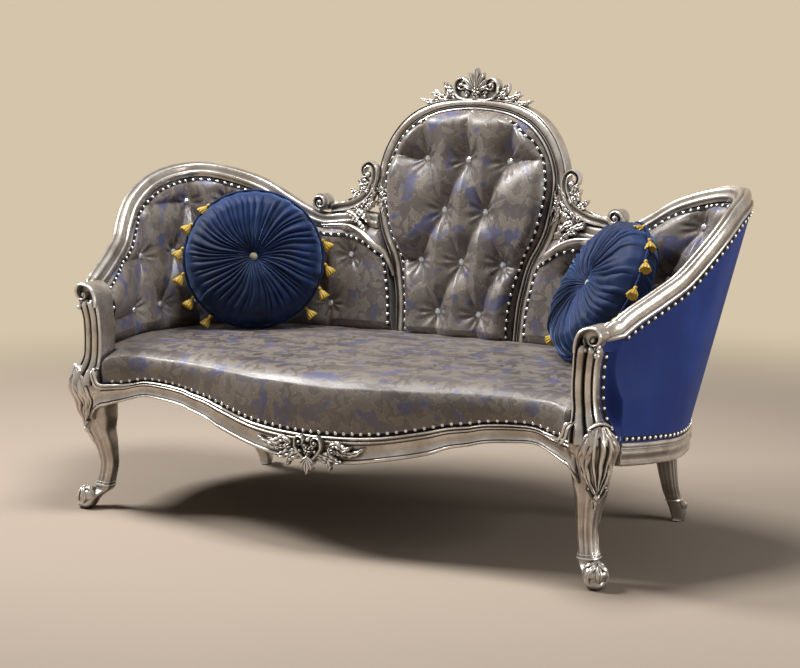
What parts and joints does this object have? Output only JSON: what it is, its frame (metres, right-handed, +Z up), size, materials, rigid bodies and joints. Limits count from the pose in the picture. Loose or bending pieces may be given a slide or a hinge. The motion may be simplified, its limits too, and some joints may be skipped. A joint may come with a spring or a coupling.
{
  "type": "loveseat",
  "caption": "Carved show-wood loveseat with a tall tufted medallion back, swept tufted wings, a crowned seat and loose round gathered pillows.",
  "frame": {"origin": "middle of the bounding box in plan, on the floor", "axes": "+X to the sitter's left, along the width; +Y from the front to the back; +Z up"},
  "size_m": [1.7606, 0.8448, 1.1279],
  "materials": {
    "show_wood": "silver leaf over carved wood, grooves darkened",
    "frame_wood": "plain sawn hardwood",
    "damask": "satin damask, taupe ground with blue foliage",
    "velvet": "royal blue velvet",
    "braid": "twisted blue braid",
    "tassel": "yellow-gold silk",
    "webbing": "woven jute",
    "cover": "black cambric",
    "crystal": "clear faceted buttons",
    "glide": "nylon"
  },
  "bodies": {
    "frame": {"foot_glides": "glide", "leg_front_left": "show_wood", "leg_front_right": "show_wood", "leg_rear_left": "show_wood", "leg_rear_right": "show_wood", "front_rail": "show_wood", "side_rail_left": "show_wood", "side_rail_right": "show_wood", "back_rail": "show_wood", "seat_braces": "frame_wood", "corner_blocks": "frame_wood", "seat_webbing": "webbing", "seat_deck": "webbing", "dust_cover": "cover", "seat_pad": "damask", "apron_carving": "show_wood", "arm_post_left": "show_wood", "arm_post_right": "show_wood", "arm_scroll_left": "show_wood", "arm_scroll_right": "show_wood", "top_rail_left": "show_wood", "top_rail_right": "show_wood", "rail_volute_left": "show_wood", "rail_volute_right": "show_wood", "scroll_bracket_left": "show_wood", "scroll_bracket_right": "show_wood", "medallion_frame": "show_wood", "medallion_board": "frame_wood", "medallion_pad": "damask", "medallion_back_panel": "velvet", "medallion_buttons": "crystal", "crest_carving": "show_wood", "wing_core_left": "frame_wood", "wing_core_right": "frame_wood", "wing_pad_left": "damask", "wing_pad_right": "damask", "wing_buttons_left": "crystal", "wing_buttons_right": "crystal", "outer_panel_left": "velvet", "outer_panel_right": "velvet"},
    "left_pillow": {"pillow_left": "velvet", "pillow_buttons_left": "crystal", "pillow_braid_left": "braid", "pillow_tassels_left": "tassel"},
    "right_pillow": {"pillow_right": "velvet", "pillow_buttons_right": "crystal", "pillow_braid_right": "braid", "pillow_tassels_right": "tassel"}
  },
  "joints": [
    {"name": "left_pillow_lift", "type": "slide", "parent": "frame", "child": "left_pillow", "axis": [0, -0.6, 0.8], "range_m": [0, 0.4]},
    {"name": "right_pillow_lift", "type": "slide", "parent": "frame", "child": "right_pillow", "axis": [0, -0.6, 0.8], "range_m": [0, 0.4]}
  ]
}
